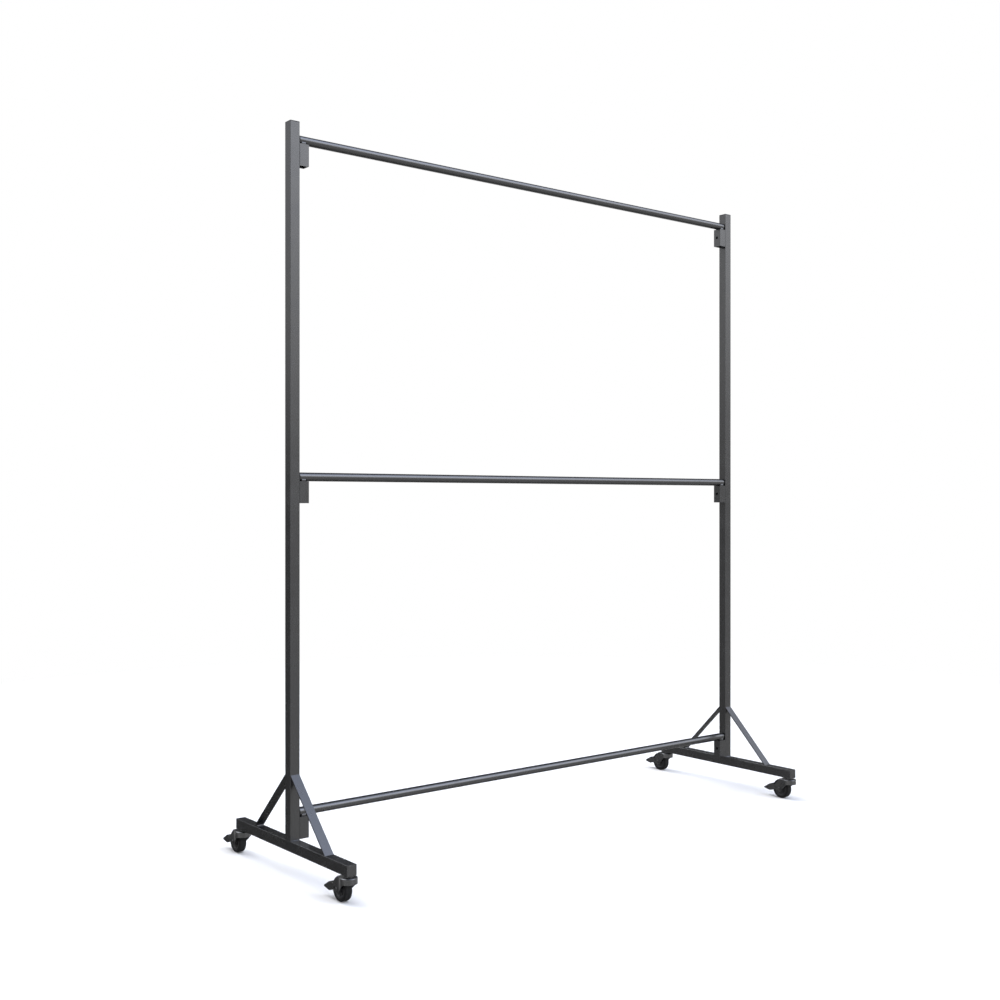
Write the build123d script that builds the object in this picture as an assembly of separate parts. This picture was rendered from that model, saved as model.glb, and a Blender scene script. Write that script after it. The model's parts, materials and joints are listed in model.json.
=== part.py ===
from build123d import *
import os
from math import acos, atan2, cos, degrees, hypot, pi, radians, sin

# Rolling three-bar background frame. Millimetres, +Z up. The origin is on the floor, midway
# between the two uprights. +X runs from the left upright to the right one, +Y to the rear.

# ---- frame ----
CLEAR_SPAN = 1800.0            # between the uprights' inner faces
TUBE = 30.0                    # square tube of the uprights and base beams
TUBE_WALL = 1.5
TUBE_CORNER = 1.0
INSIDE_CORNER = 0.4            # inside corners of the tubes and brackets
BEAM_LENGTH = 625.0
BEAM_BOTTOM = 76.0             # height of the underside of a base beam above the floor
UPRIGHT_TUBE_TOP = 2123.5
CAP_FLANGE = 2.5               # the moulded cap's visible rim
PLUG_DEPTH = 16.0
PLUG_SHELL = 2.0
PLUG_CLEARANCE = 0.2
END_PLATE = 2.0                # steel plate let into each end of a base beam

# ---- braces ----
BRACE_WIDTH = 28.0
BRACE_THICKNESS = 4.0
BRACE_REACH = 185.0            # from the upright's face to the brace's toe on the beam

# ---- crossbars ----
BAR_HEIGHTS = {"top": 2078.0, "middle": 1127.0, "bottom": 182.0}
BAR_DIAMETER = 25.0
BAR_WALL = 1.5
BAR_END_GAP = 4.0              # from a bar's end to the upright's face
BAR_PLUG_RIM = 1.2
BAR_PLUG_DOME = 2.4
BAR_PLUG_DEPTH = 14.0

# ---- brackets that carry the bars ----
BRACKET = 30.0
BRACKET_HEIGHT = 62.0
BRACKET_WALL = 2.0
BOLT_DROP = 43.0               # from a bar's centre down to its bracket's bolt
ACCESS_HOLE_RADIUS = 5.0
BOLT_HOLE_RADIUS = 3.3
BOLT_RADIUS = 3.0
BOLT_LENGTH = 16.0
BOLT_HEAD_RADIUS = 5.0
BOLT_HEAD_HEIGHT = 6.0
BOLT_KEY = 5.0                 # across the flats of the hexagon socket
BOLT_KEY_DEPTH = 3.0
NUT_HOLE_RADIUS = 4.55
NUT_BODY_RADIUS = 4.5
NUT_BORE_RADIUS = 3.05
NUT_FLANGE_RADIUS = 5.2
NUT_FLANGE = 0.5
NUT_BULGE_RADIUS = 5.8
NUT_BULGE = 3.0
NUT_LENGTH = 13.0

# ---- welds ----
BRACKET_BEAD_LENGTH = 17.0
UPRIGHT_BEAD_LENGTH = 26.0
UPRIGHT_BEAD_LEG = 1.8
BRACE_BEAD_LENGTH = 24.0
BRACE_BEAD_LEG = 6.0

# ---- casters: measured from the swivel axis at the underside of the beam ----
CASTER_INSET = 15.5            # from the beam's end to the swivel axis
TRAIL = 31.0                   # from the swivel axis back to the axle
WHEEL_RADIUS = 33.5
WHEEL_WIDTH = 22.0
TYRE_EDGE = 3.0
RIM_RADIUS = 26.0
RIM_WIDTH = 20.4
RIM_DEPTH = 5.0
WEB_THICKNESS = 15.0
HUB_BOSS_RADIUS = 8.0
HUB_BOSS_LENGTH = 27.0
AXLE_RADIUS = 4.0
AXLE_END_RADIUS = 3.0
AXLE_HEAD_RADIUS = 5.5
AXLE_HEAD = 2.4
RUNNING_FIT = 0.06             # radial, at the axle, kingpin and pedal rivets
HOOD_TOP = -5.0
HOOD_RADIUS = 24.0
HOOD_WALL = 2.0
HOOD_EDGE = 3.0
HOOD_REAR = 29.0
BAND_BOTTOM = -22.0
LEG_HALF_WIDTH = 18.2          # to the outer face of a fork leg
LEG_PARALLEL_FROM = 21.0
LEG_END_RADIUS = 10.9
STEM_RADIUS = 5.0
STEM_LENGTH = 14.0
SOCKET_RADIUS = 9.0
SOCKET_HEIGHT = 18.0
COLLAR_RADIUS = 13.5
COLLAR_SKIRT_WALL = 1.7
COLLAR_TOP = 2.0
COLLAR_DEPTH = 4.6
KINGPIN_RADIUS = 4.0
KINGPIN_HEAD_RADIUS = 7.5
KINGPIN_HEAD = 2.5
KINGPIN_PLAY = 0.1
BALL_RADIUS = 1.45
BALL_CIRCLE = 9.5
BALL_COUNT = 12
BALL_LEVEL = -3.5

# ---- brake pedal: (rearward, upward) points in the caster's side view ----
PEDAL_PIVOT = (46.0, -38.0)
PEDAL_EAR = 8.8
PEDAL_LOCK_ANGLE = 14.0        # travel from free to locked
PEDAL_HEEL = (74.5, -31.0)
PEDAL_TOE = (100.5, -46.8)
PEDAL_TOE_DEPTH = 2.4
PEDAL_BARB = (73.5, -54.5)
PEDAL_BELLY = (56.6, -49.7)
PEDAL_EYE_RADIUS = 6.5
PEDAL_HALF_WIDTH = 15.9
PEDAL_PLATE = 1.5
PEDAL_TOE_CORNER = 2.0
PEDAL_WEB_FROM = 68.0
SHOE_FROM, SHOE_BACK, SHOE_TOP = 60.0, 69.0, -42.0
SHOE_CLEARANCE = 0.3           # left between shoe and tread when the pedal is down
RIB_COUNT, RIB_PITCH, RIB_WIDTH, RIB_HEIGHT = 4, 5.5, 1.6, 0.8
RIVET_RADIUS = 2.5
RIVET_HEAD_RADIUS = 4.2
RIVET_HEAD = 1.6
RIVET_TAIL = 1.2
RIVET_PLAY = 0.2

# ---- worked out ----
HALF_SPAN = CLEAR_SPAN / 2
UPRIGHT_X = HALF_SPAN + TUBE / 2
BEAM_TOP = BEAM_BOTTOM + TUBE
CASTER_Y = BEAM_LENGTH / 2 - CASTER_INSET
AXLE_LEVEL = WHEEL_RADIUS - BEAM_BOTTOM
BAR_RADIUS = BAR_DIAMETER / 2
BAR_HALF_LENGTH = HALF_SPAN - BAR_END_GAP
TUBE_BORE = TUBE - 2 * TUBE_WALL
SIDES = {"left": -1, "right": 1}
ENDS = {"front": -1, "rear": 1}


def save(name, *solids):
    """Write one named piece, or a group of identical ones."""
    shape = solids[0] if len(solids) == 1 else Compound(list(solids))
    export_step(shape, f"parts/{name}.step")


def square_tube(length):
    """Square tube standing on the XY plane."""
    outside = RectangleRounded(TUBE, TUBE, TUBE_CORNER)
    bore = RectangleRounded(TUBE_BORE, TUBE_BORE, INSIDE_CORNER)
    return extrude(outside - bore, length)


def along_x(radius, start, end):
    """Cylinder on the X axis from start to end."""
    return Pos((start + end) / 2, 0, 0) * Rot(0, 90, 0) * Cylinder(radius, abs(end - start))


def side_prism(sketch, low_x, high_x):
    """Extrude a side-view sketch, drawn as (Y, Z), from low_x to high_x."""
    return Pos(low_x, 0, 0) * extrude(Plane.YZ * sketch, high_x - low_x)


def spun_about_x(points):
    """Revolve an outline of (X, radius) points about the X axis."""
    return revolve(make_face(Polyline(*points, close=True)), Axis.X, 360)


def spun_about_z(points):
    """Revolve an outline of (radius, Z) points about the Z axis."""
    return revolve(Plane.XZ * make_face(Polyline(*points, close=True)), Axis.Z, 360)


# ---------------------------------------------------------------- frame

def upright(side):
    tube = Pos(side * UPRIGHT_X, 0, BEAM_TOP) * square_tube(UPRIGHT_TUBE_TOP - BEAM_TOP)
    for height in BAR_HEIGHTS.values():
        level = height - BOLT_DROP
        hole = along_x(NUT_HOLE_RADIUS, side * (HALF_SPAN - 1), side * (HALF_SPAN + 2 * TUBE_WALL))
        seat = along_x(NUT_FLANGE_RADIUS, side * (HALF_SPAN - 1), side * (HALF_SPAN + NUT_FLANGE))
        tube -= Pos(0, 0, level) * hole
        tube -= Pos(0, 0, level) * seat
    return tube


def upright_cap(side):
    """Moulded cap: a rim over the tube's end and a hollow plug inside it."""
    rim = extrude(RectangleRounded(TUBE, TUBE, TUBE_CORNER), CAP_FLANGE)
    rim = chamfer(rim.faces().sort_by(Axis.Z)[-1].edges(), 0.7)
    width = TUBE_BORE - 2 * PLUG_CLEARANCE
    plug = Pos(0, 0, -PLUG_DEPTH) * extrude(RectangleRounded(width, width, INSIDE_CORNER), PLUG_DEPTH)
    hollow = width - 2 * PLUG_SHELL
    plug -= Pos(0, 0, -PLUG_DEPTH / 2) * Box(hollow, hollow, PLUG_DEPTH)
    return Pos(side * UPRIGHT_X, 0, UPRIGHT_TUBE_TOP) * (rim + plug)


def base_beam(side):
    tube = Rot(90, 0, 0) * Pos(0, 0, -BEAM_LENGTH / 2) * square_tube(BEAM_LENGTH)
    tube = Pos(side * UPRIGHT_X, 0, BEAM_BOTTOM + TUBE / 2) * tube
    for end in ENDS.values():
        tube -= Pos(side * UPRIGHT_X, end * CASTER_Y, BEAM_BOTTOM) * Cylinder(SOCKET_RADIUS, 4 * TUBE_WALL)
    return tube


def beam_end_plate(side, end):
    """Square steel plate let into a beam's end and dressed flush."""
    plate = extrude(RectangleRounded(TUBE_BORE, TUBE_BORE, INSIDE_CORNER), END_PLATE)
    centre = end * (BEAM_LENGTH / 2 - END_PLATE / 2)
    turned = Rot(90, 0, 0) * Pos(0, 0, -END_PLATE / 2) * plate
    return Pos(side * UPRIGHT_X, centre, BEAM_BOTTOM + TUBE / 2) * turned


def brace(side, end):
    """Flat bar at 45 degrees from the beam up to the upright, mitred at both ends."""
    face = TUBE / 2
    slant = BRACE_THICKNESS * 2 ** 0.5
    outline = [
        (face, BEAM_TOP + BRACE_REACH),
        (face + BRACE_REACH, BEAM_TOP),
        (face + BRACE_REACH - slant, BEAM_TOP),
        (face, BEAM_TOP + BRACE_REACH - slant),
    ]
    bar = side_prism(make_face(Polyline(*[(end * y, z) for y, z in outline], close=True)),
                     -BRACE_WIDTH / 2, BRACE_WIDTH / 2)
    return Pos(side * UPRIGHT_X, 0, 0) * bar


def brace_beads(side, end):
    """Fillet weld in the sheltered corner at each end of a brace."""
    inner = TUBE / 2 + BRACE_REACH - BRACE_THICKNESS * 2 ** 0.5
    slope = BRACE_BEAD_LEG / 2 ** 0.5
    foot = [(inner, BEAM_TOP), (inner - BRACE_BEAD_LEG, BEAM_TOP), (inner - slope, BEAM_TOP + slope)]
    shift = inner - TUBE / 2 + BEAM_TOP
    head = [(TUBE / 2, shift), (TUBE / 2, shift - BRACE_BEAD_LEG), (TUBE / 2 + slope, shift - slope)]
    beads = []
    for outline in (foot, head):
        sketch = make_face(Polyline(*[(end * y, z) for y, z in outline], close=True))
        bead = side_prism(sketch, -BRACE_BEAD_LENGTH / 2, BRACE_BEAD_LENGTH / 2)
        beads.append(Pos(side * UPRIGHT_X, 0, 0) * bead)
    return beads


def upright_beads(side):
    """Fillet welds along the front and rear of the upright's foot."""
    foot = TUBE / 2
    beads = []
    for end in ENDS.values():
        section = [(foot, BEAM_TOP), (foot + UPRIGHT_BEAD_LEG, BEAM_TOP),
                   (foot, BEAM_TOP + UPRIGHT_BEAD_LEG)]
        sketch = make_face(Polyline(*[(end * y, z) for y, z in section], close=True))
        bead = side_prism(sketch, -UPRIGHT_BEAD_LENGTH / 2, UPRIGHT_BEAD_LENGTH / 2)
        beads.append(Pos(side * UPRIGHT_X, 0, 0) * bead)
    return beads


# ---------------------------------------------------------------- crossbars and brackets

def crossbar(height):
    tube = along_x(BAR_RADIUS, -BAR_HALF_LENGTH, BAR_HALF_LENGTH)
    tube -= along_x(BAR_RADIUS - BAR_WALL, -BAR_HALF_LENGTH - 1, BAR_HALF_LENGTH + 1)
    return Pos(0, 0, height) * tube


def bar_plug(side, height):
    """Push-in end plug with a rounded face."""
    reach = BAR_HALF_LENGTH
    body = BAR_RADIUS - BAR_WALL - PLUG_CLEARANCE / 2
    rim = reach + BAR_PLUG_RIM
    tip = rim + BAR_PLUG_DOME
    outline = Polyline((tip, 0), (reach - BAR_PLUG_DEPTH, 0), (reach - BAR_PLUG_DEPTH, body),
                       (reach, body), (reach, BAR_RADIUS), (rim, BAR_RADIUS))
    sphere = (BAR_RADIUS ** 2 + BAR_PLUG_DOME ** 2) / (2 * BAR_PLUG_DOME)
    halfway = (tip - sphere + (sphere ** 2 - BAR_RADIUS ** 2 / 4) ** 0.5, BAR_RADIUS / 2)
    dome = ThreePointArc((rim, BAR_RADIUS), halfway, (tip, 0))
    plug = revolve(make_face(outline + dome), Axis.X, 360)
    if side < 0:
        plug = mirror(plug, about=Plane.YZ)
    return Pos(0, 0, height) * plug


def bracket(side, height):
    """Short square box, closed at the top and open at the bottom, bolted to the upright."""
    outside = extrude(RectangleRounded(BRACKET, BRACKET, TUBE_CORNER), BRACKET_HEIGHT)
    bore = BRACKET - 2 * BRACKET_WALL
    hollow = extrude(RectangleRounded(bore, bore, INSIDE_CORNER), BRACKET_HEIGHT - BRACKET_WALL)
    box = outside - hollow
    level = BRACKET_HEIGHT + BAR_RADIUS - BOLT_DROP
    back, front = side * BRACKET / 2, -side * BRACKET / 2
    box -= Pos(0, 0, level) * along_x(BOLT_HOLE_RADIUS, back - side * 2 * BRACKET_WALL, back + side)
    box -= Pos(0, 0, level) * along_x(ACCESS_HOLE_RADIUS, front - side, front + side * 2 * BRACKET_WALL)
    bottom = height - BAR_RADIUS - BRACKET_HEIGHT
    return Pos(side * (HALF_SPAN - BRACKET / 2), 0, bottom) * box


def bracket_beads(side, height):
    """Fillet welds in the valleys between the round bar and the bracket's flat top."""
    beads = []
    for sign in SIDES.values():
        top = -BAR_RADIUS
        valley = Polyline((sign * 11.2, -5.5), (sign * 3.5, -5.5), (sign * 3.5, top), (sign * 12.3, top))
        face = ThreePointArc((sign * 12.3, top), (sign * 12.5, -8.6), (sign * 11.2, -5.5))
        section = make_face(valley + face) - Circle(BAR_RADIUS)
        bead = side_prism(section, -BRACKET_BEAD_LENGTH / 2, BRACKET_BEAD_LENGTH / 2)
        beads += (Pos(side * (HALF_SPAN - BRACKET / 2), 0, height) * bead).solids()
    return beads


def bracket_bolt(side, height):
    """Socket-head bolt from inside the bracket into the upright's rivet nut."""
    seat = HALF_SPAN - BRACKET_WALL
    head = along_x(BOLT_HEAD_RADIUS, seat - BOLT_HEAD_HEIGHT, seat)
    shank = along_x(BOLT_RADIUS, seat, seat + BOLT_LENGTH)
    key = extrude(Plane.YZ * RegularPolygon(BOLT_KEY / 2, 6, major_radius=False), BOLT_KEY_DEPTH)
    bolt = head + shank - Pos(seat - BOLT_HEAD_HEIGHT, 0, 0) * key
    if side < 0:
        bolt = mirror(bolt, about=Plane.YZ)
    return Pos(0, 0, height - BOLT_DROP) * bolt


def rivet_nut(side, height):
    """Flush rivet nut set in the upright's inner wall."""
    wall = HALF_SPAN + TUBE_WALL
    flange_end = HALF_SPAN + NUT_FLANGE
    outline = [
        (HALF_SPAN, NUT_BORE_RADIUS), (HALF_SPAN, NUT_FLANGE_RADIUS), (flange_end, NUT_FLANGE_RADIUS),
        (flange_end, NUT_BODY_RADIUS), (wall, NUT_BODY_RADIUS), (wall, NUT_BULGE_RADIUS),
        (wall + NUT_BULGE, NUT_BULGE_RADIUS), (wall + NUT_BULGE, NUT_BODY_RADIUS),
        (HALF_SPAN + NUT_LENGTH, NUT_BODY_RADIUS), (HALF_SPAN + NUT_LENGTH, NUT_BORE_RADIUS),
    ]
    nut = spun_about_x(outline)
    if side < 0:
        nut = mirror(nut, about=Plane.YZ)
    return Pos(0, 0, height - BOLT_DROP) * nut


# ---------------------------------------------------------------- casters

def thread_socket():
    """Threaded boss welded through the beam's lower wall."""
    boss = Pos(0, 0, SOCKET_HEIGHT / 2) * Cylinder(SOCKET_RADIUS, SOCKET_HEIGHT)
    return boss - Cylinder(STEM_RADIUS + RUNNING_FIT, 3 * SOCKET_HEIGHT)


def caster_stem():
    """Threaded stem, bearing collar and kingpin, riveted over below the fork."""
    skirt = COLLAR_RADIUS - COLLAR_SKIRT_WALL
    shoulder = HOOD_TOP - HOOD_WALL - KINGPIN_PLAY
    outline = [
        (0, STEM_LENGTH), (STEM_RADIUS - 1, STEM_LENGTH), (STEM_RADIUS, STEM_LENGTH - 1),
        (STEM_RADIUS, 0), (COLLAR_RADIUS - 0.6, 0), (COLLAR_RADIUS, -0.6), (COLLAR_RADIUS, -COLLAR_DEPTH),
        (skirt, -COLLAR_DEPTH), (skirt, -COLLAR_TOP), (KINGPIN_RADIUS, -COLLAR_TOP),
        (KINGPIN_RADIUS, shoulder), (KINGPIN_HEAD_RADIUS, shoulder),
        (KINGPIN_HEAD_RADIUS - 0.8, shoulder - KINGPIN_HEAD), (0, shoulder - KINGPIN_HEAD),
    ]
    return spun_about_z(outline)


def bearing_balls():
    step = 2 * pi / BALL_COUNT
    return [Pos(BALL_CIRCLE * cos(n * step), BALL_CIRCLE * sin(n * step), BALL_LEVEL) * Sphere(BALL_RADIUS)
            for n in range(BALL_COUNT)]


def hood_plan(radius, half_width, parallel_from, rear):
    """Plan of the hood: a round front, sides that close in, then parallel legs."""
    reach = hypot(half_width, parallel_from)
    bearing = atan2(parallel_from, half_width) - acos(radius / reach)
    touch = (radius * cos(bearing), radius * sin(bearing))
    left = [(-touch[0], touch[1]), (-half_width, parallel_from), (-half_width, rear)]
    right = [(half_width, rear), (half_width, parallel_from), touch]
    front = ThreePointArc(touch, (0, -radius), left[0])
    return make_face(Polyline(*left, *right) + front)


def fork_profile():
    """Side view of the fork: the front band, and legs that cover the axle and pedal pivot."""
    axle_end = Pos(TRAIL, AXLE_LEVEL) * Circle(LEG_END_RADIUS)
    ear = Pos(*PEDAL_PIVOT) * Circle(PEDAL_EAR)
    top_edge = Line((-2.0, HOOD_TOP + 1), (HOOD_REAR - 1, HOOD_TOP + 1))
    throat = Line((-4.0, BAND_BOTTOM - 1), (-4.0, HOOD_TOP))
    leg = make_hull([*axle_end.edges(), *ear.edges(), *top_edge.edges(), *throat.edges()])
    front = HOOD_RADIUS + 2
    band_height = HOOD_TOP + 1 - BAND_BOTTOM
    band = Pos(-front / 2 + 5, BAND_BOTTOM + band_height / 2) * Rectangle(front + 10, band_height)
    return leg + band


def caster_fork():
    """Pressed hood and legs in one piece of sheet."""
    depth = 60.0
    rear = 70.0
    plan = hood_plan(HOOD_RADIUS, LEG_HALF_WIDTH, LEG_PARALLEL_FROM, rear)
    outer = Pos(0, 0, HOOD_TOP - depth) * extrude(plan, depth)
    outer = fillet(outer.faces().sort_by(Axis.Z)[-1].edges(), HOOD_EDGE)
    inside = hood_plan(HOOD_RADIUS - HOOD_WALL, LEG_HALF_WIDTH - HOOD_WALL, LEG_PARALLEL_FROM, rear + 5)
    inner = Pos(0, 0, HOOD_TOP - HOOD_WALL - depth) * extrude(inside, depth)
    inner = fillet(inner.faces().sort_by(Axis.Z)[-1].edges(), HOOD_EDGE - HOOD_WALL)
    shape = (outer - inner) & side_prism(fork_profile(), -HOOD_RADIUS - 5, HOOD_RADIUS + 5)
    shape -= Pos(0, 0, HOOD_TOP) * Cylinder(KINGPIN_RADIUS + RUNNING_FIT, 3 * HOOD_WALL)
    reach = LEG_HALF_WIDTH + 1
    shape -= Pos(0, TRAIL, AXLE_LEVEL) * along_x(AXLE_END_RADIUS, -reach, reach)
    shape -= Pos(0, *PEDAL_PIVOT) * along_x(RIVET_RADIUS, -reach, reach)
    return shape


def caster_axle():
    """Shouldered axle riveted into both legs."""
    inner, outer = LEG_HALF_WIDTH - HOOD_WALL, LEG_HALF_WIDTH
    axle = along_x(AXLE_RADIUS, -inner, inner) + along_x(AXLE_END_RADIUS, -outer, outer)
    for side in SIDES.values():
        head = along_x(AXLE_HEAD_RADIUS, side * outer, side * (outer + AXLE_HEAD))
        rim = head.faces().sort_by(Axis.X)[0 if side < 0 else -1].edges()
        axle += fillet(rim, AXLE_HEAD / 2)
    return Pos(0, TRAIL, AXLE_LEVEL) * axle


def wheel_hub():
    """Moulded centre: long boss, a thick web and a rim for the tyre."""
    bore = AXLE_RADIUS + RUNNING_FIT
    boss, web, rim = HUB_BOSS_LENGTH / 2, WEB_THICKNESS / 2, RIM_WIDTH / 2
    inner_rim = RIM_RADIUS - RIM_DEPTH
    right = [(boss, bore), (boss, HUB_BOSS_RADIUS - 0.8), (boss - 0.8, HUB_BOSS_RADIUS),
             (web, HUB_BOSS_RADIUS), (web, inner_rim - 1.5), (rim, inner_rim), (rim, RIM_RADIUS)]
    left = [(-x, r) for x, r in reversed(right)]
    return Pos(0, TRAIL, AXLE_LEVEL) * spun_about_x(right + left)


def wheel_tyre():
    """Solid tread with rounded shoulders."""
    half = WHEEL_WIDTH / 2
    section = Pos(0, (RIM_RADIUS + WHEEL_RADIUS) / 2) * Rectangle(WHEEL_WIDTH, WHEEL_RADIUS - RIM_RADIUS)
    shoulders = section.vertices().sort_by(Axis.Y)[-2:]
    section = fillet(shoulders, TYRE_EDGE)
    tyre = revolve(section, Axis.X, 360)
    return Pos(0, TRAIL, AXLE_LEVEL) * tyre


def pedal_flange_outline():
    top = (PEDAL_PIVOT[0], PEDAL_PIVOT[1] + PEDAL_EYE_RADIUS)
    low = (PEDAL_PIVOT[0] - 3.0, PEDAL_PIVOT[1] - 5.8)
    tip = (PEDAL_TOE[0], PEDAL_TOE[1] - PEDAL_TOE_DEPTH)
    body = make_face(Polyline(top, PEDAL_HEEL, PEDAL_TOE, tip, PEDAL_BARB, PEDAL_BELLY, low, close=True))
    return body + Pos(*PEDAL_PIVOT) * Circle(PEDAL_EYE_RADIUS)


def pedal_plate_outline():
    """Foot plate seen from the side: a short level heel and a sloping tread."""
    heel, toe = PEDAL_HEEL, PEDAL_TOE
    down = PEDAL_PLATE * hypot(toe[0] - heel[0], toe[1] - heel[1]) / (toe[0] - heel[0])
    under_heel, under_toe = (heel[0] - 0.4, heel[1] - down), (toe[0], toe[1] - down)
    return make_face(Polyline((PEDAL_WEB_FROM, heel[1]), heel, toe, under_toe, under_heel,
                              (PEDAL_WEB_FROM, heel[1] - down), close=True))


def shoe_outline():
    """Brake shoe: its front is hollowed to the tread's curve in the locked position."""
    swing = radians(PEDAL_LOCK_ANGLE)
    back, up = TRAIL - PEDAL_PIVOT[0], AXLE_LEVEL - PEDAL_PIVOT[1]
    wheel = (PEDAL_PIVOT[0] + back * cos(swing) - up * sin(swing),
             PEDAL_PIVOT[1] + back * sin(swing) + up * cos(swing))
    block = make_face(Polyline((SHOE_FROM, SHOE_TOP), (SHOE_BACK, SHOE_TOP), (PEDAL_BARB[0], PEDAL_BARB[1]),
                               (SHOE_FROM, -50.7), close=True))
    return block - Pos(*wheel) * Circle(WHEEL_RADIUS + SHOE_CLEARANCE)


def brake_pedal():
    half = PEDAL_HALF_WIDTH
    flange = pedal_flange_outline()
    pedal = side_prism(flange, half - PEDAL_PLATE, half) + side_prism(flange, -half, PEDAL_PLATE - half)
    pedal += side_prism(pedal_plate_outline(), -half, half)
    pedal += side_prism(shoe_outline(), -half, half)
    slope = atan2(PEDAL_HEEL[1] - PEDAL_TOE[1], PEDAL_TOE[0] - PEDAL_HEEL[0])
    for n in range(RIB_COUNT):
        run = 5.0 + n * RIB_PITCH
        y = PEDAL_HEEL[0] + run * cos(slope)
        z = PEDAL_HEEL[1] - run * sin(slope)
        rib = Box(2 * half - 6, RIB_WIDTH, 2 * RIB_HEIGHT)
        pedal += Pos(0, y, z) * Rot(-degrees(slope), 0, 0) * rib
    plan = Pos(0, PEDAL_TOE[0] / 2) * RectangleRounded(2 * half, PEDAL_TOE[0], PEDAL_TOE_CORNER)
    pedal &= Pos(0, 0, -80) * extrude(plan + Pos(0, 20) * Rectangle(2 * half, 40), 70)
    return pedal - Pos(0, *PEDAL_PIVOT) * along_x(RIVET_RADIUS + RUNNING_FIT, -half - 1, half + 1)


def pedal_rivets():
    """Stub rivets that hang the pedal inside the two legs."""
    outer = LEG_HALF_WIDTH
    tail = PEDAL_HALF_WIDTH - PEDAL_PLATE - RIVET_PLAY
    rivets = []
    for side in SIDES.values():
        rivet = along_x(RIVET_RADIUS, side * (tail - RIVET_TAIL), side * outer)
        rivet += along_x(RIVET_HEAD_RADIUS, side * outer, side * (outer + RIVET_HEAD))
        rivet += along_x(RIVET_HEAD_RADIUS - 0.4, side * (tail - RIVET_TAIL), side * tail)
        rivets.append(Pos(0, *PEDAL_PIVOT) * rivet)
    return rivets


def caster_pieces():
    """Every piece of one caster, around its swivel axis at the underside of the beam."""
    return {
        "stem": [caster_stem()],
        "fork": [caster_fork()],
        "bearing_balls": bearing_balls(),
        "axle": [caster_axle()],
        "wheel_hub": [wheel_hub()],
        "tyre": [wheel_tyre()],
        "brake_pedal": [brake_pedal()],
        "pedal_rivets": pedal_rivets(),
    }


# ---------------------------------------------------------------- write every piece

os.makedirs("parts", exist_ok=True)

for side_name, side in SIDES.items():
    save(f"{side_name}_upright", upright(side))
    save(f"{side_name}_base_beam", base_beam(side))
    for end_name, end in ENDS.items():
        save(f"{side_name}_{end_name}_brace", brace(side, end))
    for bar_name, height in BAR_HEIGHTS.items():
        save(f"{bar_name}_{side_name}_bracket", bracket(side, height))

for bar_name, height in BAR_HEIGHTS.items():
    save(f"{bar_name}_bar", crossbar(height))

corners = [(side, end) for side in SIDES.values() for end in ENDS.values()]
bar_ends = [(side, height) for side in SIDES.values() for height in BAR_HEIGHTS.values()]
save("upright_top_caps", *[upright_cap(side) for side in SIDES.values()])
save("base_end_plates", *[beam_end_plate(*corner) for corner in corners])
save("bar_end_plugs", *[bar_plug(*bar_end) for bar_end in bar_ends])
save("bracket_bolts", *[bracket_bolt(*bar_end) for bar_end in bar_ends])
save("upright_rivet_nuts", *[rivet_nut(*bar_end) for bar_end in bar_ends])
save("bracket_weld_beads", *[bead for bar_end in bar_ends for bead in bracket_beads(*bar_end)])
save("brace_weld_beads", *[bead for corner in corners for bead in brace_beads(*corner)])
save("upright_weld_beads", *[bead for side in SIDES.values() for bead in upright_beads(side)])

caster_spots = {
    f"{end_name}_{side_name}": Pos(side * UPRIGHT_X, end * CASTER_Y, BEAM_BOTTOM)
    for side_name, side in SIDES.items() for end_name, end in ENDS.items()
}
save("caster_thread_sockets", *[spot * thread_socket() for spot in caster_spots.values()])
for piece_name, solids in caster_pieces().items():
    for corner_name, spot in caster_spots.items():
        save(f"{corner_name}_{piece_name}", *[spot * solid for solid in solids])
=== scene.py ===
import json
import math
import random

import bmesh
import bpy
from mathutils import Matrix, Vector


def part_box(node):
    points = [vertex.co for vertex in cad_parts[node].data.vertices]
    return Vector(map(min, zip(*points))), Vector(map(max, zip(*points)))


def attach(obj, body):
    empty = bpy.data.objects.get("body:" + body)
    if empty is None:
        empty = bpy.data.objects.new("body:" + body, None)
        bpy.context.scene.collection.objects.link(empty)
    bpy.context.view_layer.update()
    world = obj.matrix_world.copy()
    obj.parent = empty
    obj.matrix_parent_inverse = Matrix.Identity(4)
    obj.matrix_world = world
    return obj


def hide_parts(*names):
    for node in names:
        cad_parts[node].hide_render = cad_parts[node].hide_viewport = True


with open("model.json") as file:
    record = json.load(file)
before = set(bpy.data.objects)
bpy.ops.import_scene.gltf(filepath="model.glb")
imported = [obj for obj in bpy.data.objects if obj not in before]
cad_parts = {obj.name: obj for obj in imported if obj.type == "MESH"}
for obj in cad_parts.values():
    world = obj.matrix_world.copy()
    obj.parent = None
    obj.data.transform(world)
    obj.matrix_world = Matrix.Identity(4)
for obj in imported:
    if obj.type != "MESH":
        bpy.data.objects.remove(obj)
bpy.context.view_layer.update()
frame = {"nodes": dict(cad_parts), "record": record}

# Rolling three-bar background frame. Metres, in the CAD frame: +Z up, floor at Z = 0.

scene = bpy.context.scene
NODES = frame["nodes"]


# ---------------------------------------------------------------- camera

CAMERA_PLACE = (-2.663, -3.0975, 1.0616)
CAMERA_YAW = math.radians(-38.89)
SENSOR = 36.0
LENS = 44.887
CLIP = (0.05, 200.0)


def make_camera():
    data = bpy.data.cameras.new("camera")
    data.sensor_width = SENSOR
    data.lens = LENS
    data.clip_start, data.clip_end = CLIP
    camera = bpy.data.objects.new("camera", data)
    camera.location = CAMERA_PLACE
    camera.rotation_euler = (math.radians(90), 0.0, CAMERA_YAW)
    scene.collection.objects.link(camera)
    scene.camera = camera


# ---------------------------------------------------------------- shader helpers

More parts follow.
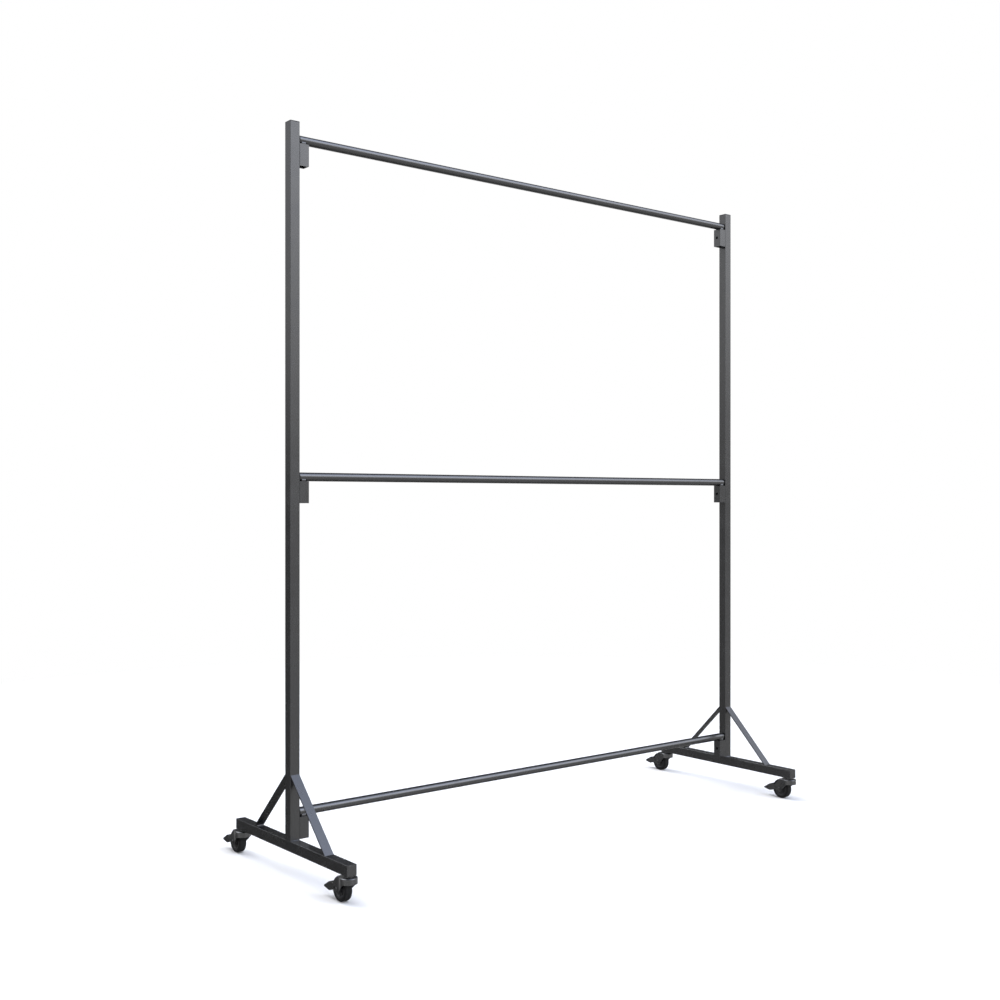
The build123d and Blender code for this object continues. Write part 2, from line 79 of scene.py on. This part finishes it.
class Shader:
    """A material's node tree with short calls for the nodes used here.

    An input named i0, i1 and so on is a socket's number, any other is its name.
    """

    def __init__(self, name):
        self.material = bpy.data.materials.new(name)
        self.material.use_nodes = True
        self.tree = self.material.node_tree
        self.bsdf = self.tree.nodes["Principled BSDF"]
        place = self.tree.nodes.new("ShaderNodeTexCoord")
        self.place = place.outputs["Object"]

    def node(self, kind, **inputs):
        made = self.tree.nodes.new(kind)
        for key, value in inputs.items():
            numbered = key[0] == "i" and key[1:].isdigit()
            self.feed(made.inputs[int(key[1:]) if numbered else key], value)
        return made

    def feed(self, socket, value):
        if isinstance(value, bpy.types.NodeSocket):
            self.tree.links.new(value, socket)
        else:
            socket.default_value = value

    def noise(self, scale, detail=3.0, rough=0.55):
        made = self.node("ShaderNodeTexNoise", Vector=self.place, Scale=scale, Detail=detail,
                         Roughness=rough)
        return made.outputs["Fac"]

    def remap(self, value, low, high, to_low, to_high):
        made = self.node("ShaderNodeMapRange", i0=value, i1=low, i2=high, i3=to_low, i4=to_high)
        return made.outputs["Result"]

    def math(self, operation, a, b):
        made = self.node("ShaderNodeMath", i0=a, i1=b)
        made.operation = operation
        return made.outputs[0]

    def mix(self, factor, a, b):
        made = self.tree.nodes.new("ShaderNodeMix")
        made.data_type = "RGBA"
        self.feed(made.inputs["Factor"], factor)
        self.feed(made.inputs["A"], a)
        self.feed(made.inputs["B"], b)
        return made.outputs["Result"]

    def bump(self, height, distance, strength=1.0, under=None):
        made = self.node("ShaderNodeBump", Height=height, Distance=distance, Strength=strength)
        if under is not None:
            self.feed(made.inputs["Normal"], under)
        return made.outputs["Normal"]

    def edges(self, radius):
        """1 on edges and 0 on flats, from how much a rounded normal differs."""
        rounded = self.node("ShaderNodeBevel", Radius=radius)
        rounded.samples = 4
        geometry = self.tree.nodes.new("ShaderNodeNewGeometry")
        plain = geometry.outputs["Normal"]
        dot = self.node("ShaderNodeVectorMath", i0=rounded.outputs["Normal"], i1=plain)
        dot.operation = "DOT_PRODUCT"
        return self.remap(dot.outputs["Value"], FLAT_DOT, EDGE_DOT, 0.0, 1.0)

    def finish(self, colour, roughness, normal=None, **uniform):
        self.feed(self.bsdf.inputs["Base Color"], colour)
        self.feed(self.bsdf.inputs["Roughness"], roughness)
        if normal is not None:
            self.feed(self.bsdf.inputs["Normal"], normal)
        for key, value in uniform.items():
            self.feed(self.bsdf.inputs[key.replace("_", " ")], value)
        return self.material


def rgb(r, g, b):
    return (r, g, b, 1.0)


def scaled(colour, by):
    return rgb(*[c * by for c in colour])


# ---------------------------------------------------------------- materials

PAINT = (0.010, 0.010, 0.0105)
CASTER_PAINT = (0.012, 0.012, 0.0125)
BLACK_STEEL = (0.010, 0.010, 0.010)
PLASTIC = (0.012, 0.012, 0.013)
NYLON = (0.016, 0.016, 0.017)
RUBBER = (0.006, 0.006, 0.0063)
WORN_PAINT = (0.11, 0.113, 0.12)
FLOOR_DUST = (0.05, 0.049, 0.046)
ZINC_DARK, ZINC_LIGHT = (0.42, 0.43, 0.45), (0.6, 0.61, 0.63)

# Dot product of the rounded and the plain normal, on a flat and on an edge.
FLAT_DOT, EDGE_DOT = 0.9995, 0.985
WEAR_RADIUS = 0.0006
WEAR_MOST = 0.35
DUST_MOST = 0.14
DUST_FROM, DUST_FULL = 0.0012, 0.0003      # below the tread's radius


def powder_coat(name, colour, roughness, ior=1.5):
    """Dark satin powder coat: fine orange peel, cloudy gloss and thin wear."""
    s = Shader(name)
    cloudy = s.noise(7.0, 4.0)
    shade = s.mix(s.remap(cloudy, 0.35, 0.65, 0.0, 1.0), scaled(colour, 0.86), scaled(colour, 1.16))
    edges = s.edges(WEAR_RADIUS)
    worn = s.math("MULTIPLY", edges, s.remap(s.noise(140.0, 2.0), 0.45, 0.7, 0.0, WEAR_MOST))
    shade = s.mix(worn, shade, rgb(*WORN_PAINT))
    gloss = s.remap(s.noise(22.0, 5.0, 0.6), 0.3, 0.7, roughness - 0.05, roughness + 0.06)
    peel = s.bump(s.noise(620.0, 2.0), 0.00006, 0.35)
    grain = s.bump(s.noise(2600.0, 2.0), 0.00002, 0.35, under=peel)
    return s.finish(shade, gloss, grain, Specular_IOR_Level=1.0, IOR=ior)


def moulded_plastic(name, colour, roughness):
    """Slightly mottled plastic with a fine grain."""
    s = Shader(name)
    shade = s.mix(s.noise(30.0, 3.0), scaled(colour, 0.8), scaled(colour, 1.25))
    gloss = s.remap(s.noise(60.0, 3.0), 0.3, 0.7, roughness - 0.06, roughness + 0.06)
    return s.finish(shade, gloss, s.bump(s.noise(1800.0, 3.0), 0.00003, 0.5))


def rubber(name, colour, tread_radius):
    """Black rubber with a fine grain, and a little grey dust where the tread meets the floor."""
    s = Shader(name)
    shade = s.mix(s.noise(45.0, 4.0), rgb(*colour), scaled(colour, 1.5))
    across = s.node("ShaderNodeVectorMath", i0=s.place, i1=(0.0, 1.0, 1.0))
    across.operation = "MULTIPLY"
    radius = s.node("ShaderNodeVectorMath", i0=across.outputs["Vector"])
    radius.operation = "LENGTH"
    start, full = tread_radius - DUST_FROM, tread_radius - DUST_FULL
    tread = s.remap(radius.outputs["Value"], start, full, 0.0, 1.0)
    dust = s.math("MULTIPLY", tread, s.remap(s.noise(260.0, 5.0, 0.65), 0.35, 0.75, 0.0, DUST_MOST))
    shade = s.mix(dust, shade, rgb(*FLOOR_DUST))
    gloss = s.remap(s.noise(90.0, 3.0), 0.3, 0.7, 0.52, 0.70)
    return s.finish(shade, gloss, s.bump(s.noise(1100.0, 4.0), 0.00005, 0.5), Specular_IOR_Level=0.22)


def zinc_plate(name):
    """Bright zinc with a fine spangle."""
    s = Shader(name)
    shade = s.mix(s.noise(260.0, 4.0), rgb(*ZINC_DARK), rgb(*ZINC_LIGHT))
    gloss = s.remap(s.noise(420.0, 3.0), 0.3, 0.7, 0.28, 0.45)
    return s.finish(shade, gloss, s.bump(s.noise(1500.0, 2.0), 0.00002, 0.4), Metallic=1.0)


CORNERS = [f"{end}_{side}" for end in ("front", "rear") for side in ("left", "right")]


def box_centre(node):
    low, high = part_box(node)
    return (low + high) / 2


def box_size(node):
    low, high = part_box(node)
    return high - low


TREAD_RADIUS = box_size("front_left_tyre").z / 2

SLOT_MATERIALS = {
    "frame_paint": powder_coat("frame_powder_coat", PAINT, 0.24),
    "caster_paint": powder_coat("caster_paint", CASTER_PAINT, 0.27, ior=1.6),
    "plug_plastic": moulded_plastic("plug_plastic", PLASTIC, 0.5),
    "hub_nylon": moulded_plastic("hub_nylon", NYLON, 0.42),
    "tyre_rubber": rubber("tyre_rubber", RUBBER, TREAD_RADIUS),
    "zinc_steel": zinc_plate("zinc_steel"),
    "black_steel": powder_coat("black_steel", BLACK_STEEL, 0.42),
}


# Bevels in metres. The bars and balls are round, and the rivets' bevel would touch the pedals.
TUBE_EDGE = 0.0002
PART_EDGE = 0.0004
UNBROKEN = ("_bar", "_balls", "_rivets")
MERGE_DISTANCE = 0.000001
FLAT_ANGLE = math.radians(0.5)
EDGE_ANGLE = math.radians(40)


def dress_cad_nodes():
    """Give every CAD node its procedural material and broken edges."""
    for row in frame["record"]["subparts"]:
        name = row["node"]
        piece = NODES[name]
        piece.data.materials.clear()
        piece.data.materials.append(SLOT_MATERIALS[row["material_slot"]])
        if not name.endswith(UNBROKEN):
            break_edges(piece, TUBE_EDGE if name.endswith(("_upright", "_beam")) else PART_EDGE)


def break_edges(piece, width):
    """Round the sharp edges a little, so that they catch the light.

    Flat triangles are merged first, because a bevel on long thin ones leaves cracks.
    """
    weld = piece.modifiers.new("weld", "WELD")
    weld.merge_threshold = MERGE_DISTANCE
    flat = piece.modifiers.new("flat_faces", "DECIMATE")
    flat.decimate_type = "DISSOLVE"
    flat.angle_limit = FLAT_ANGLE
    bevel = piece.modifiers.new("edge_break", "BEVEL")
    bevel.width = width
    bevel.segments = 2
    bevel.limit_method = "ANGLE"
    bevel.angle_limit = EDGE_ANGLE
    normals = piece.modifiers.new("normals", "WEIGHTED_NORMAL")
    normals.weight = 80


# ---------------------------------------------------------------- built pieces

def add_piece(name, points, faces, slot, body, stands_for, centre=(0.0, 0.0, 0.0)):
    """A smooth mesh piece that rides on a body in place of the CAD nodes named."""
    shape = bmesh.new()
    corners = [shape.verts.new(point) for point in points]
    for face in faces:
        shape.faces.new([corners[n] for n in face]).smooth = True
    bmesh.ops.recalc_face_normals(shape, faces=shape.faces)
    mesh = bpy.data.meshes.new(name)
    shape.to_mesh(mesh)
    shape.free()
    mesh.materials.append(SLOT_MATERIALS[slot])
    piece = bpy.data.objects.new(name, mesh)
    piece.location = centre
    scene.collection.objects.link(piece)
    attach(piece, body)
    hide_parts(*stands_for)


def ring_faces(rings, size, closed):
    """Quads between successive rings of points, each ring a closed loop of that size."""
    faces = []
    for a in range(rings if closed else rings - 1):
        b = (a + 1) % rings
        for n in range(size):
            m = (n + 1) % size
            faces.append((a * size + n, a * size + m, b * size + m, b * size + n))
    return faces


# ---- weld beads ----

BEAD_STEP = 0.00035             # between rings of points
BEAD_ACROSS = 10                # quads from toe to toe
RIPPLE_PITCH = 0.0021
RIPPLE_DEPTH = 0.00032
RIPPLE_LAG = 0.0010             # how far a ripple's middle trails its ends
BEAD_END = 0.0028               # length of the tapered ends
BEAD_TIP = 0.04                 # least square of the section's scale, at the very end
BRACE_SLANT = 0.004 * 2 ** 0.5  # a 4 mm bar cut at 45 degrees
BRACE_LEG = 0.006               # brace bead, along the beam or upright
BRACE_TOE = 0.00424             # the same leg along the brace, in Y and Z

BRACKET_BEAD = dict(bulge=0.0009, length=0.017)
BRACE_BEAD = dict(bulge=0.0005, length=0.024)
UPRIGHT_BEAD = dict(bulge=0.0002, length=0.026)
# Corner and toes of a bracket's bead, in (Y, Z), as shares of the bar's radius.
BRACKET_ROOT = (0.4, -1)
BRACKET_TOES = ((0.984, -1), (0.896, -0.44))


def bead_points(rng, centre, outward_y, root, toes, bulge, length):
    """Rings of points along X for one bead.

    It has a root in the corner and a rippled face between two toes, all in (Y, Z).
    """
    root, low, high = Vector(root), Vector(toes[0]), Vector(toes[1])
    outward = ((low + high) / 2 - root).normalized()
    rings = round(length / BEAD_STEP)
    heights = [rng.uniform(0.8, 1.15) for _ in range(round(length / RIPPLE_PITCH) + 3)]
    points = []
    for ring in range(rings + 1):
        along = -length / 2 + length * ring / rings
        into_end = max(0.0, abs(along) - (length / 2 - BEAD_END)) / BEAD_END
        taper = max(BEAD_TIP, 1 - into_end ** 2) ** 0.5
        section = [root]
        for n in range(BEAD_ACROSS + 1):
            across = n / BEAD_ACROSS
            crown = 4 * across * (1 - across)
            phase = (along + length / 2 + RIPPLE_LAG * crown) / RIPPLE_PITCH
            ripple = 1 - abs(math.sin(math.pi * phase)) ** 0.7
            depth = RIPPLE_DEPTH * ripple * heights[int(phase)] * min(1.0, 3 * crown)
            face = low.lerp(high, across) + outward * (bulge * crown - depth)
            section.append(root + (face - root) * taper)
        points += [(centre.x + along, centre.y + outward_y * p.x, centre.z + p.y) for p in section]
    return points


def add_beads(name, node, beads):
    """All the beads of one CAD node as one painted piece."""
    rng = random.Random(name)
    size = BEAD_ACROSS + 2
    points, faces = [], []
    for bead in beads:
        start = len(points)
        points += bead_points(rng, **bead)
        rings = (len(points) - start) // size
        found = ring_faces(rings, size, closed=False)
        found += [tuple(range(size)), tuple(range((rings - 1) * size, rings * size))]
        faces += [tuple(start + n for n in face) for face in found]
    add_piece(name, points, faces, "frame_paint", "frame", [node])


def make_weld_beads():
    """The beads of every bracket, brace and upright, in the CAD beads' places."""
    bracket_beads, brace_beads, upright_beads = [], [], []
    for side in ("left", "right"):
        post = box_centre(f"{side}_upright")
        foot = box_size(f"{side}_upright").y / 2
        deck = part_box(f"{side}_base_beam")[1].z
        leg = box_size("upright_weld_beads").z
        for bar in ("top", "middle", "bottom"):
            place = box_centre(f"{bar}_{side}_bracket")
            radius = box_size(f"{bar}_bar").z / 2
            for way in (-1, 1):
                bracket_beads.append(dict(
                    centre=Vector((place.x, 0, box_centre(f"{bar}_bar").z)), outward_y=way,
                    root=tuple(k * radius for k in BRACKET_ROOT),
                    toes=tuple(tuple(k * radius for k in toe) for toe in BRACKET_TOES),
                    **BRACKET_BEAD))
        for end, way in (("front", -1), ("rear", 1)):
            reach = box_size(f"{side}_{end}_brace").y - BRACE_SLANT
            foot_end = foot + reach
            upright_beads.append(dict(
                centre=Vector((post.x, 0, deck)), outward_y=way, root=(foot, 0),
                toes=((foot + leg, 0), (foot, leg)), **UPRIGHT_BEAD))
            brace_beads.append(dict(
                centre=Vector((post.x, 0, deck)), outward_y=way, root=(foot_end, 0),
                toes=((foot_end - BRACE_LEG, 0), (foot_end - BRACE_TOE, BRACE_TOE)), **BRACE_BEAD))
            brace_beads.append(dict(
                centre=Vector((post.x, 0, deck + reach)), outward_y=way, root=(foot, 0),
                toes=((foot, -BRACE_LEG), (foot + BRACE_TOE, -BRACE_TOE)), **BRACE_BEAD))
    add_beads("bracket_welds", "bracket_weld_beads", bracket_beads)
    add_beads("brace_welds", "brace_weld_beads", brace_beads)
    add_beads("upright_welds", "upright_weld_beads", upright_beads)


# ---- wheels ----

WHEEL_SEGMENTS = 144
TYRE_EDGE = 0.003               # radius of the shoulder
TYRE_CROWN = 0.0002             # fall of the tread from its middle to its side
SHOULDER_DROP = 0.00025         # of the shoulder's top below the tread
# Step in the tyre's wall: in from the side, and down from the tread.
WALL_STEP = ((0.0, 0.0043), (0.0004, 0.0047), (0.0004, 0.0053), (0.0, 0.0057))
BEAD_LIP = (0.0007, 0.0008)     # across and up, where the tyre meets the rim

HUB_BOSS_RADIUS = 0.008
HUB_BORE = 0.00406
RIM_DEPTH = 0.005
RIM_INSET = 0.0008              # of the rim from the tyre's side
WEB_HALF = 0.0072
RIBBED_HALF = 0.0086            # half the web's thickness at a rib
HUB_RIBS = 8
RIB_HALF = 0.0011               # half of a rib's width
RIB_TOP, RIB_FOOT = 0.9, 1.25   # where its top and foot end, in half widths
WEB_STEPS = 12                  # from rib to rib
LEAST_RIB_RADIUS = 0.006        # keeps a rib's angle small near the bore


def arc(centre, radius, start, end, steps):
    """Points on an arc, in (X, radius) terms, angles in degrees from +X."""
    found = []
    for n in range(steps + 1):
        angle = math.radians(start + (end - start) * n / steps)
        found.append((centre[0] + radius * math.cos(angle), centre[1] + radius * math.sin(angle)))
    return found


def mirrored(half):
    """A closed outline from its +X half, listed from the middle of the tread inwards."""
    return half + [(-x, r) for x, r in reversed(half) if x > 0]


def tyre_outline(half_width, tread, bore):
    """Closed outline in (X, radius): crowned tread, shoulder, stepped wall and lip."""
    crown = [(half_width * n / 8, tread - TYRE_CROWN * (n / 8) ** 2) for n in range(6)]
    top = (half_width - TYRE_EDGE, tread - SHOULDER_DROP - TYRE_EDGE)
    shoulder = arc(top, TYRE_EDGE, 80, 5, 7)
    wall = [(half_width - inward, tread - down) for inward, down in WALL_STEP]
    lip = [(half_width, bore + BEAD_LIP[1]), (half_width - BEAD_LIP[0], bore)]
    return mirrored(crown + shoulder + wall + lip)


def make_tyre(corner):
    node = f"{corner}_tyre"
    rim_radius = box_size(f"{corner}_wheel_hub").z / 2
    outline = tyre_outline(box_size(node).x / 2, TREAD_RADIUS, rim_radius)
    points = []
    for n in range(WHEEL_SEGMENTS):
        turn = 2 * math.pi * n / WHEEL_SEGMENTS
        points += [(x, r * math.cos(turn), r * math.sin(turn)) for x, r in outline]
    faces = ring_faces(WHEEL_SEGMENTS, len(outline), closed=True)
    add_piece(f"{corner}_moulded_tyre", points, faces, "tyre_rubber",
              f"{corner}_wheel", [node], box_centre(node))


def hub_half(boss, rim, rim_radius, web):
    """+X half of the hub's outline, from the rim's outside to the bore.

    boss, rim and web are half widths along X.
    """
    inner = rim_radius - RIM_DEPTH
    boss_radius = HUB_BOSS_RADIUS
    edge = [(rim, rim_radius), (rim, inner + 0.0012), (rim - 0.0005, inner + 0.0002)]
    into_web = [(web + 0.0012, inner - 0.0012), (web + 0.0004, inner - 0.0016), (web, inner - 0.0024)]
    disc = [(web, (inner + boss_radius) / 2), (web, boss_radius + 0.0014)]
    out_of_web = [(web + 0.0003, boss_radius + 0.0005), (web + 0.0012, boss_radius)]
    end = [(boss - 0.0008, boss_radius), (boss, boss_radius - 0.0008), (boss, HUB_BORE)]
    return edge + into_web + disc + out_of_web + end


def make_hub(corner):
    """Moulded hub: boss, thick web with radial ribs, and rim."""
    node = f"{corner}_wheel_hub"
    boss, rim_radius = box_size(node).x / 2, box_size(node).z / 2
    rim = box_size(f"{corner}_tyre").x / 2 - RIM_INSET
    hollow = mirrored(hub_half(boss, rim, rim_radius, WEB_HALF))
    ribbed = mirrored(hub_half(boss, rim, rim_radius, RIBBED_HALF))
    across_rib = ((hollow, -RIB_FOOT), (ribbed, -RIB_TOP), (ribbed, RIB_TOP), (hollow, RIB_FOOT))
    columns = []
    for rib in range(HUB_RIBS):
        middle = 2 * math.pi * rib / HUB_RIBS
        for outline, offset in across_rib:
            columns.append((outline, middle, offset * RIB_HALF))
        for step in range(1, WEB_STEPS):
            columns.append((hollow, middle + 2 * math.pi / HUB_RIBS * step / WEB_STEPS, 0.0))
    points = []
    for outline, middle, offset in columns:
        for x, r in outline:
            turn = middle + math.asin(offset / max(r, LEAST_RIB_RADIUS))
            points.append((x, r * math.cos(turn), r * math.sin(turn)))
    faces = ring_faces(len(columns), len(hollow), closed=True)
    add_piece(f"{corner}_ribbed_hub", points, faces, "hub_nylon",
              f"{corner}_wheel", [node], box_centre(node))


# ---------------------------------------------------------------- stage and light

FLOOR_RADIUS = 60.0
FLOOR_COLOUR = (0.84, 0.825, 0.80)
FLOOR_FADE = (1.7, 4.4)         # distances over which the floor turns into the background
BACKGROUND = 1.0


def make_floor():
    """Pale round floor that fades to the white of the background."""
    mesh = bpy.data.meshes.new("floor")
    shape = bmesh.new()
    bmesh.ops.create_circle(shape, cap_ends=True, segments=96, radius=FLOOR_RADIUS)
    shape.to_mesh(mesh)
    shape.free()
    floor = bpy.data.objects.new("floor", mesh)
    scene.collection.objects.link(floor)
    s = Shader("floor_paint")
    length = s.node("ShaderNodeVectorMath", i0=s.place)
    length.operation = "LENGTH"
    far = s.remap(length.outputs["Value"], *FLOOR_FADE, 0.0, 1.0)
    s.finish(rgb(*FLOOR_COLOUR), 0.75, s.bump(s.noise(160.0), 0.0002, 0.2), Specular_IOR_Level=0.1)
    glow = s.node("ShaderNodeEmission", Color=rgb(BACKGROUND, BACKGROUND, BACKGROUND))
    blend = s.tree.nodes.new("ShaderNodeMixShader")
    s.feed(blend.inputs[0], far)
    s.feed(blend.inputs[1], s.bsdf.outputs[0])
    s.feed(blend.inputs[2], glow.outputs[0])
    s.feed(s.tree.nodes["Material Output"].inputs["Surface"], blend.outputs[0])
    mesh.materials.append(s.material)
    floor.visible_glossy = False


# The light around the object, as radiance by direction: a broad soft key, front right and
# high, with a brighter core, a rim light from high behind, a dim fill from the left, a cool
# fill overhead, and grey ground. Each lobe is a direction, a power and a strength.
KEY = ((0.50, -0.68, 0.53), 8.0, 3.7)
KEY_CORE = ((0.60, -0.50, 0.62), 20.0, 1.1)
RIM = ((-0.22, 0.56, 0.80), 24.0, 9.0)
LEFT_FILL = ((-0.88, 0.43, 0.20), 4.0, 1.3)
OVERHEAD = ((0.20, -0.35, 0.92), 6.0, 0.9)
FRONT_GROUND = ((0.36, -0.86, -0.36), 2.0, 0.74)
LEFT_GROUND = ((-0.90, 0.43, 0.0), 8.0, 0.34)
WALL_LEAST, GROUND_LEAST = 0.05, 0.04

# Soft cards round the sides that the camera does not face, with their strengths.
CARDS = [((1.0, 0.12, 0.0), 1.1), ((-1.0, -0.15, 0.0), 0.9), ((-0.7, -0.7, 0.0), 0.8)]
LOW_CARDS = [((0.30, 0.93, -0.2), 1.3), ((0.75, 0.60, -0.25), 0.7)]
CARD_POWER = 14.0

# Heights (Z of the direction) between which ground turns to wall, and white light to cool.
HORIZON = (-0.01, 0.17)
COOL_FROM = (0.08, 0.4)
COOL_SHARE = 0.25
COOL = (0.84, 0.95, 1.24)


class Sky:
    """Arithmetic on sockets in the world's node tree."""

    def __init__(self, tree):
        self.tree = tree
        self.direction = tree.nodes.new("ShaderNodeTexCoord").outputs["Generated"]
        split = tree.nodes.new("ShaderNodeSeparateXYZ")
        tree.links.new(self.direction, split.inputs[0])
        self.height = split.outputs["Z"]

    def put(self, socket, value):
        """Link a socket to it, or set it to a number or vector."""
        if isinstance(value, bpy.types.NodeSocket):
            self.tree.links.new(value, socket)
        else:
            socket.default_value = value

    def calc(self, operation, a, b):
        made = self.tree.nodes.new("ShaderNodeMath")
        made.operation = operation
        self.put(made.inputs[0], a)
        self.put(made.inputs[1], b)
        return made.outputs[0]

    def total(self, first, *others):
        for other in others:
            first = self.calc("ADD", first, other)
        return first

    def lobe(self, towards, power, strength):
        """Light from about one direction, narrower the higher the power."""
        made = self.tree.nodes.new("ShaderNodeVectorMath")
        made.operation = "DOT_PRODUCT"
        self.put(made.inputs[0], self.direction)
        self.put(made.inputs[1], towards)
        ahead = self.calc("MAXIMUM", made.outputs["Value"], 0.0)
        return self.calc("MULTIPLY", self.calc("POWER", ahead, power), strength)

    def rise(self, low, high):
        """0 below the low height and 1 above the high one, smooth between."""
        made = self.tree.nodes.new("ShaderNodeMapRange")
        made.interpolation_type = "SMOOTHSTEP"
        self.put(made.inputs["Value"], self.height)
        self.put(made.inputs["From Min"], low)
        self.put(made.inputs["From Max"], high)
        return made.outputs["Result"]

    def blend(self, factor, a, b):
        made = self.tree.nodes.new("ShaderNodeMix")
        self.put(made.inputs["Factor"], factor)
        self.put(made.inputs["A"], a)
        self.put(made.inputs["B"], b)
        return made.outputs["Result"]


def make_world():
    """White to look at; as light, the lobes and cards above."""
    world = bpy.data.worlds.new("studio")
    scene.world = world
    world.use_nodes = True
    tree = world.node_tree
    sky = Sky(tree)
    low_cards = [sky.lobe(towards, CARD_POWER, strength) for towards, strength in LOW_CARDS]
    ground = sky.total(sky.lobe(*FRONT_GROUND), sky.lobe(*LEFT_GROUND), GROUND_LEAST, *low_cards)
    walls = sky.total(sky.lobe(*KEY), sky.lobe(*KEY_CORE), sky.lobe(*RIM), sky.lobe(*LEFT_FILL), WALL_LEAST)
    overhead = sky.lobe(*OVERHEAD)
    cards = [sky.lobe(towards, CARD_POWER, strength) for towards, strength in CARDS]
    room = sky.total(sky.blend(sky.rise(*HORIZON), ground, walls), overhead, *cards)
    tint = tree.nodes.new("ShaderNodeMix")
    tint.data_type = "RGBA"
    high = sky.calc("MULTIPLY", sky.rise(*COOL_FROM), COOL_SHARE)
    sky.put(tint.inputs["Factor"], sky.total(overhead, high))
    tint.inputs["A"].default_value = rgb(1.0, 1.0, 1.0)
    tint.inputs["B"].default_value = rgb(*COOL)
    light = tree.nodes["Background"]
    sky.put(light.inputs["Color"], tint.outputs["Result"])
    sky.put(light.inputs["Strength"], room)
    seen = tree.nodes.new("ShaderNodeBackground")
    seen.inputs["Color"].default_value = rgb(BACKGROUND, BACKGROUND, BACKGROUND)
    choose = tree.nodes.new("ShaderNodeMixShader")
    path = tree.nodes.new("ShaderNodeLightPath")
    sky.put(choose.inputs[0], path.outputs["Is Camera Ray"])
    sky.put(choose.inputs[1], light.outputs[0])
    sky.put(choose.inputs[2], seen.outputs[0])
    sky.put(tree.nodes["World Output"].inputs["Surface"], choose.outputs[0])


TOP_LIGHT_PLACE = (0, 0, 5.5)
TOP_LIGHT_SIZE = (5.0, 4.0)
TOP_LIGHT_WATTS = 110


def make_top_light():
    """A large soft light straight above, out of sight and of reflections."""
    data = bpy.data.lights.new("top_light", "AREA")
    data.shape = "RECTANGLE"
    data.size, data.size_y = TOP_LIGHT_SIZE
    data.energy = TOP_LIGHT_WATTS
    lamp = bpy.data.objects.new("top_light", data)
    lamp.location = TOP_LIGHT_PLACE
    lamp.rotation_euler = (Vector() - Vector(TOP_LIGHT_PLACE)).to_track_quat("-Z", "Y").to_euler()
    lamp.visible_camera = False
    lamp.visible_glossy = False
    scene.collection.objects.link(lamp)


def set_tone():
    scene.view_settings.view_transform = "Standard"
    scene.view_settings.look = "None"
    scene.cycles.use_denoising = True


make_camera()
dress_cad_nodes()
make_weld_beads()
for corner in CORNERS:
    make_tyre(corner)
    make_hub(corner)
make_floor()
make_world()
make_top_light()
set_tone()
